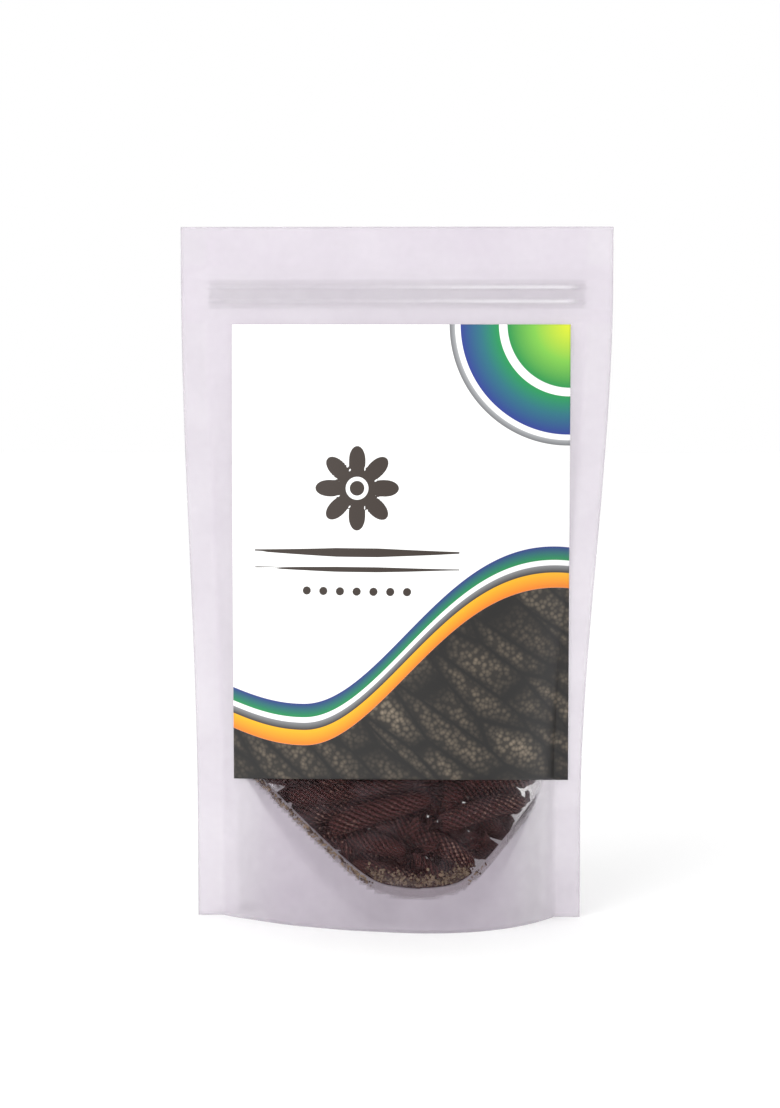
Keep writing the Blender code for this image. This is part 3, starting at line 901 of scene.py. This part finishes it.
def resting_height(px, py, pz, radii, settled):
    """How high each pose comes to rest when it drops onto the spikes that are already there."""
    height = np.full(len(px), weld_height(GUSSET_MIDDLE))
    for sphere, radius in enumerate(radii):
        reach = radius + settled[:, 3] + SPACING
        away_x = px[:, sphere, None] - settled[:, 0]
        away_y = py[:, sphere, None] - settled[:, 1]
        spare = reach**2 - away_x**2 - away_y**2
        touch = settled[:, 2] + np.sqrt(np.maximum(spare, 0.0)) - pz[:, sphere, None]
        height = np.maximum(height, np.where(spare > 0, touch, 0.0).max(axis=1))
    return height


def inside_film(px, py, pz, radii):
    """Whether every sphere of each pose is clear of both panels and above the gusset."""
    left, right = gusset_ends()
    clear = (pz - radii > weld_height(px)).all(axis=1)
    for turn in np.linspace(0.0, math.tau, SKIN_TURNS, endpoint=False):
        for rise in SKIN_RISES:
            skin_x = px + radii * math.cos(turn) * math.cos(rise)
            skin_y = py + radii * math.sin(turn) * math.cos(rise)
            skin_z = pz + radii * math.sin(rise)
            clear &= ((skin_x > left) & (skin_x < right)).all(axis=1)
            clear &= (np.abs(skin_y) < inner_depth(skin_x, skin_z) - WALL_SPACING).all(axis=1)
    return clear


def spheres_of(lie):
    """The spheres round a spike that lies as its solid does, as rows of (x, y, z, radius)."""
    origin, x_axis, _, z_axis, length = lie
    along, lift, radii = spike_spheres(length)
    centres = origin + along[:, None] * x_axis + lift[:, None] * z_axis
    return np.concatenate([centres, radii[:, None]], axis=1)


settled = np.concatenate([spheres_of(lie) for lie in spike_lies])
rng = np.random.default_rng(SEED)
fill_left, fill_right = gusset_ends()
low = np.array([fill_left, -belly_depth(0.0), 0.0, -LARGEST_TILT, 0.0])
high = np.array([fill_right, belly_depth(0.0), math.tau, LARGEST_TILT, math.tau])
nudge = np.array([NUDGE_SHIFT, NUDGE_SHIFT, NUDGE_TURN, NUDGE_TURN, 2 * NUDGE_TURN])
for index in range(MORE_SPIKES):
    length = spike_lengths[index % len(spike_lengths)]
    along, lift, radii = spike_spheres(length)
    best_height = math.inf
    for scale in (None, *NUDGE_SCALES):
        if scale is None:
            poses = rng.uniform(low, high, (TRIES, 5))
        else:
            poses = best_pose + rng.normal(size=(NUDGES, 5)) * nudge * scale
        px, py, pz = posed_spheres(along, lift, poses)
        height = resting_height(px, py, pz, radii, settled)
        pz = pz + height[:, None]
        height[~inside_film(px, py, pz, radii)] = math.inf
        lowest = np.argmin(height)
        if height[lowest] < best_height:
            best_height, best_pose = height[lowest], poses[lowest]
            best_spheres = np.stack([px[lowest], py[lowest], pz[lowest], radii], axis=1)
    settled = np.concatenate([settled, best_spheres])
    x, y, heading, tilt, roll = best_pose
    mesh = spike_meshes[length, SPIKE_SEEDS[index % len(SPIKE_SEEDS)]]
    place_spike(f"upper_spike_{index + 1:02d}", mesh, (x, y, best_height), *spike_axes(heading, tilt, roll))

# Broken spikes
# Dry spikes snap in the bag. The short ends work their way into the gaps between the whole ones, low down
# most of all. Each is tried at random places until it fits clear of the film and of every other piece.

# Each kind: its length, its radius, and how many are wanted at most.
BROKEN_KINDS = (
    (0.013, 0.0025, 40),
    (0.009, 0.0021, 60),
    (0.006, 0.0016, 70),
    (0.0045, 0.0012, 60),
    (0.003, 0.0008, 90),
)
BROKEN_SIDES = 14
BROKEN_RINGS = 12
BROKEN_TRIES = 26000
BROKEN_TOP = 0.075
BROKEN_DEPTH = 0.024
BROKEN_TILT = 1.2
BROKEN_SETTLING = 1.3
BROKEN_SPACING = 0.0001
BROKEN_SPHERES = 5
BROKEN_FRUITS_AROUND = 5
BREAK_ROUGHNESS = 0.0006


def broken_mesh(length, girth_radius, seed):
    """The middle of a spike, snapped off at both ends, along X."""
    rng = np.random.default_rng(seed)
    places = np.concatenate([[0.0, 0.0], np.linspace(0.03, 0.97, BROKEN_RINGS), [1.0, 1.0]])
    turn = np.linspace(0.0, math.tau, BROKEN_SIDES, endpoint=False)
    place, angle = np.meshgrid(places, turn, indexing="ij")
    along = place * length
    around = BROKEN_FRUITS_AROUND * angle + FRUIT_TWIST * along / FRUIT_PITCH
    knob = 0.5 + 0.5 * np.cos(around) * np.cos(math.tau * along / FRUIT_PITCH)
    ends = np.concatenate([[0.0, 0.85], np.ones(BROKEN_RINGS), [0.85, 0.0]])[:, None]
    radius = girth_radius * ends * (1 + FRUIT_RELIEF * (knob - 0.5)) / (1 + FRUIT_RELIEF / 2)
    jagged = BREAK_ROUGHNESS * np.sin(angle * 3 + rng.uniform(0, 6)) * (np.abs(place - 0.5) > 0.45)
    points = np.stack([along - length / 2 + jagged, radius * np.cos(angle), radius * np.sin(angle)], axis=-1)
    mesh = bpy.data.meshes.new("broken_spike")
    faces = grid_faces(len(places), BROKEN_SIDES, closed=True)
    mesh.from_pydata(points.reshape(-1, 3).tolist(), [], faces.tolist())
    set_values(mesh, "knob", (knob * (ends >= 1)).ravel())
    bm = bmesh.new()
    bm.from_mesh(mesh)
    bmesh.ops.remove_doubles(bm, verts=bm.verts, dist=SAME_POINT)
    bmesh.ops.recalc_face_normals(bm, faces=bm.faces)
    bm.to_mesh(mesh)
    bm.free()
    mesh.shade_smooth()
    return mesh


rng = np.random.default_rng(SEED + 1)
broken_count = 0
for kind, (length, girth_radius, wanted) in enumerate(BROKEN_KINDS):
    wanted += broken_count
    broken_piece = broken_mesh(length, girth_radius, kind)
    reach = np.linspace(-0.5, 0.5, BROKEN_SPHERES) * (length - girth_radius)
    radii = np.full(len(reach), girth_radius * 1.04)
    low = (fill_left, -BROKEN_DEPTH, 0, -BROKEN_TILT, 0)
    high = (fill_right, BROKEN_DEPTH, math.tau, BROKEN_TILT, math.tau)
    poses = rng.uniform(low, high, (BROKEN_TRIES, 5))
    heights = SKIRT / 2 + (BROKEN_TOP - SKIRT / 2) * rng.uniform(size=BROKEN_TRIES) ** BROKEN_SETTLING
    px, py, pz = posed_spheres(reach, np.zeros(len(reach)), poses)
    pz = pz + heights[:, None]
    fits = inside_film(px, py, pz, radii)
    for index in np.flatnonzero(fits):
        centres = np.stack([px[index], py[index], pz[index]], axis=1)
        away = np.sqrt(((centres[:, None] - settled[:, :3]) ** 2).sum(axis=2))
        if (away < radii[:, None] + settled[:, 3] - SPHERE_MARGIN + BROKEN_SPACING).any():
            continue
        if broken_count >= wanted:
            break
        broken_count += 1
        settled = np.concatenate([settled, np.concatenate([centres, radii[:, None]], axis=1)])
        x, y, heading, tilt, roll = poses[index]
        name = f"broken_spike_{broken_count:03d}"
        place_spike(name, broken_piece, (x, y, heights[index]), *spike_axes(heading, tilt, roll))

# The fill against the film
# Where a spike presses on a panel, the frosted face lies on it and lets its dark colour through. Each point
# of both panels is given how nearly it touches the fill.

CONTACT_REACH = 0.017
OUTLINE_REACH = 0.0022
NEAR_SPHERES = 4
POCKET_DROP, POCKET_EDGE = 0.0022, 0.001
SLACK_STRIP = 0.013

sphere_tree = kdtree.KDTree(len(settled))
for index, (x, y, z, _) in enumerate(settled):
    sphere_tree.insert((x, y, z), index)
sphere_tree.balance()
for panel in panels:
    clearances = []
    for vertex in panel.data.vertices:
        near = sphere_tree.find_n(vertex.co, NEAR_SPHERES)
        clearances.append(min(distance - settled[index, 3] for _, index, distance in near) - WALL_SPACING)
    x, _, z = np.array([vertex.co for vertex in panel.data.vertices]).T
    # How far each point is outside the fill's outline, as seen from the front.
    outside = np.full(len(x), math.inf)
    for sphere_x, _, sphere_z, radius in settled:
        outside = np.minimum(outside, np.hypot(x - sphere_x, z - sphere_z) - radius)
    touching = 1 - smoothstep(np.array(clearances) / CONTACT_REACH)
    covered = 1 - smoothstep(outside / OUTLINE_REACH)
    pocket = smoothstep((z - weld_height(x) + POCKET_DROP) / POCKET_EDGE)
    from_seal = np.minimum(x - left_edge(z), right_edge(z) - x) - SIDE_SEAL
    contact = touching * covered * pocket * smoothstep(from_seal / SLACK_STRIP)
    set_values(panel.data, "contact", contact)

# Crumbs
# Fruits that broke off the spikes, and dust. They sift down between the spikes and collect where the
# gusset is welded to the panels, most of all along the front's left slope and its level middle.

CRUMBS, BACK_SHARE = 1100, 0.6
CRUMB_SIZES = (0.00016, 0.00055)
CRUMB_RISE = 0.0032
POCKET_THICKNESS = 0.00022
CRUMB_SEED = 5
CRUMB_COLOURS = ("#3a2921", "#85725c")
PATCH_SCALE = 700.0
# The share of crumbs that is missing from both slopes, and from the right one besides.
SLOPE_THINNING, SLOPE_RUN = 0.55, 0.004
RIGHT_THINNING, RIGHT_RUN = 0.45, 0.008
POCKET_CROWDING = 1.5


def crumb_material():
    """Broken dried fruit: some brown, some showing a paler inside."""
    material, tree, shader = new_material("crushed_long_pepper")
    place = add_node(tree, "ShaderNodeNewGeometry", {}, "Position")
    patch = noise(tree, place, PATCH_SCALE, 1.0)
    patch = ramp(tree, patch, 0.4, 0.6)
    dark, pale = (linear(colour) for colour in CRUMB_COLOURS)
    colour = mixed(tree, patch, dark, pale)
    tree.links.new(colour, shader.inputs["Base Color"])
    shader.inputs["Roughness"].default_value = 0.9
    return material


def crumbs_mesh(side, count, seed):
    """Crumbs on top of the gusset's fold, behind the front panel (-1) or the back one (1)."""
    rng = np.random.default_rng(seed)
    bm = bmesh.new()
    while count:
        x = rng.uniform(fill_left, fill_right)
        level = 1 - smoothstep((abs(x - GUSSET_MIDDLE) - GUSSET_LEVEL_HALF) / SLOPE_RUN)
        rightward = smoothstep((x - GUSSET_MIDDLE - GUSSET_LEVEL_HALF) / RIGHT_RUN)
        if rng.uniform() < SLOPE_THINNING * (1 - level) + RIGHT_THINNING * rightward:
            continue
        size = rng.uniform(*CRUMB_SIZES)
        flat = 1.0
        if rng.uniform() < level:
            fold_top = weld_height(x) + GUSSET_FOLD_WIDTH / 2 + FILM / 2
            z = fold_top + size + abs(rng.normal()) * CRUMB_RISE / 2
            y = side * (inner_depth(x, z) - FILM - size - rng.uniform() * CRUMB_RISE / 2)
        else:
            # On the slopes they have slipped into the pocket between the panel and the flange.
            flat = min(POCKET_THICKNESS / size, 1.0)
            z = weld_height(x) - rng.uniform() ** POCKET_CROWDING * POCKET_DROP
            y = side * (inner_depth(x, z) - POCKET_THICKNESS)
        near = ((settled[:, :3] - (x, y, z)) ** 2).sum(axis=1) < (settled[:, 3] + size) ** 2
        if near.any():
            continue
        made = bmesh.ops.create_icosphere(bm, subdivisions=1, radius=size)["verts"]
        turn = Matrix.Rotation(rng.uniform(0, math.tau), 4, Vector(rng.normal(size=3)))
        shape = Matrix.Diagonal((*rng.uniform(0.6, 1.2, 3), 1.0))
        press = Matrix.Diagonal((1.0, flat, 1.0, 1.0))
        bmesh.ops.transform(bm, matrix=Matrix.Translation((x, y, z)) @ press @ turn @ shape, verts=made)
        count -= 1
    mesh = bpy.data.meshes.new("crumbs")
    bm.to_mesh(mesh)
    bm.free()
    return mesh


crumb_finish = crumb_material()
for crumbs_name, side, share in (("front_crumbs", -1, 1.0), ("back_crumbs", 1, BACK_SHARE)):
    crumbs = add_object(crumbs_name, crumbs_mesh(side, int(CRUMBS * share), CRUMB_SEED), crumb_finish)
    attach(crumbs, "root")

# Studio
# A white floor and a white room, with a broad soft light from the upper left in front. The camera stands
# 0.8 m away, a little below the pouch's top edge and 1.5 degrees to its right, and looks down 4.9 degrees.

CAMERA_DISTANCE = 0.8
CAMERA_HEIGHT = 0.18
CAMERA_PITCH = math.radians(4.9)
CAMERA_AZIMUTH = math.radians(1.5)
CAMERA_ASIDE = -0.002
CAMERA_LENS = 86.0
SENSOR = 36.0
FLOOR_SIZE = 6.0
FLOOR_WHITE, FLOOR_GLOW = "#fcfcfc", 0.04
WHITE_LIGHT = (1.0, 1.0, 1.0, 1.0)
KEY_PLACE, KEY_AIM = (-0.7, -0.9, 0.8), Vector((0.0, 0.0, 0.1))
KEY_WIDTH, KEY_HEIGHT, KEY_WATTS = 0.9, 0.7, 6.0

floor_mesh = bpy.data.meshes.new("studio_floor")
floor_bm = bmesh.new()
bmesh.ops.create_grid(floor_bm, x_segments=1, y_segments=1, size=FLOOR_SIZE / 2)
floor_bm.to_mesh(floor_mesh)
floor_bm.free()
floor_material, _, floor_shader = new_material("white_paper_floor")
floor_shader.inputs["Base Color"].default_value = linear(FLOOR_WHITE)
floor_shader.inputs["Roughness"].default_value = 0.9
floor_shader.inputs["Emission Color"].default_value = WHITE_LIGHT
floor_shader.inputs["Emission Strength"].default_value = FLOOR_GLOW
floor = add_object("studio_floor", floor_mesh, floor_material)

world = bpy.data.worlds.new("white_room")
world.use_nodes = True
world.node_tree.nodes["Background"].inputs["Color"].default_value = WHITE_LIGHT
world.node_tree.nodes["Background"].inputs["Strength"].default_value = 1.0
bpy.context.scene.world = world

key = bpy.data.lights.new("soft_key", "AREA")
key.shape = "RECTANGLE"
key.size, key.size_y = KEY_WIDTH, KEY_HEIGHT
key.energy = KEY_WATTS
key_light = add_object("soft_key", key)
key_light.location = KEY_PLACE
key_light.rotation_euler = (KEY_AIM - key_light.location).to_track_quat("-Z", "Y").to_euler()

camera_data = bpy.data.cameras.new("camera")
camera_data.lens = CAMERA_LENS
camera_data.sensor_width = SENSOR
camera = add_object("camera", camera_data)
camera.location = (
    CAMERA_DISTANCE * math.sin(CAMERA_AZIMUTH) + CAMERA_ASIDE,
    -CAMERA_DISTANCE * math.cos(CAMERA_AZIMUTH),
    CAMERA_HEIGHT,
)
camera.rotation_euler = (math.pi / 2 - CAMERA_PITCH, 0.0, CAMERA_AZIMUTH)
bpy.context.scene.camera = camera
bpy.context.scene.view_settings.view_transform = "Standard"
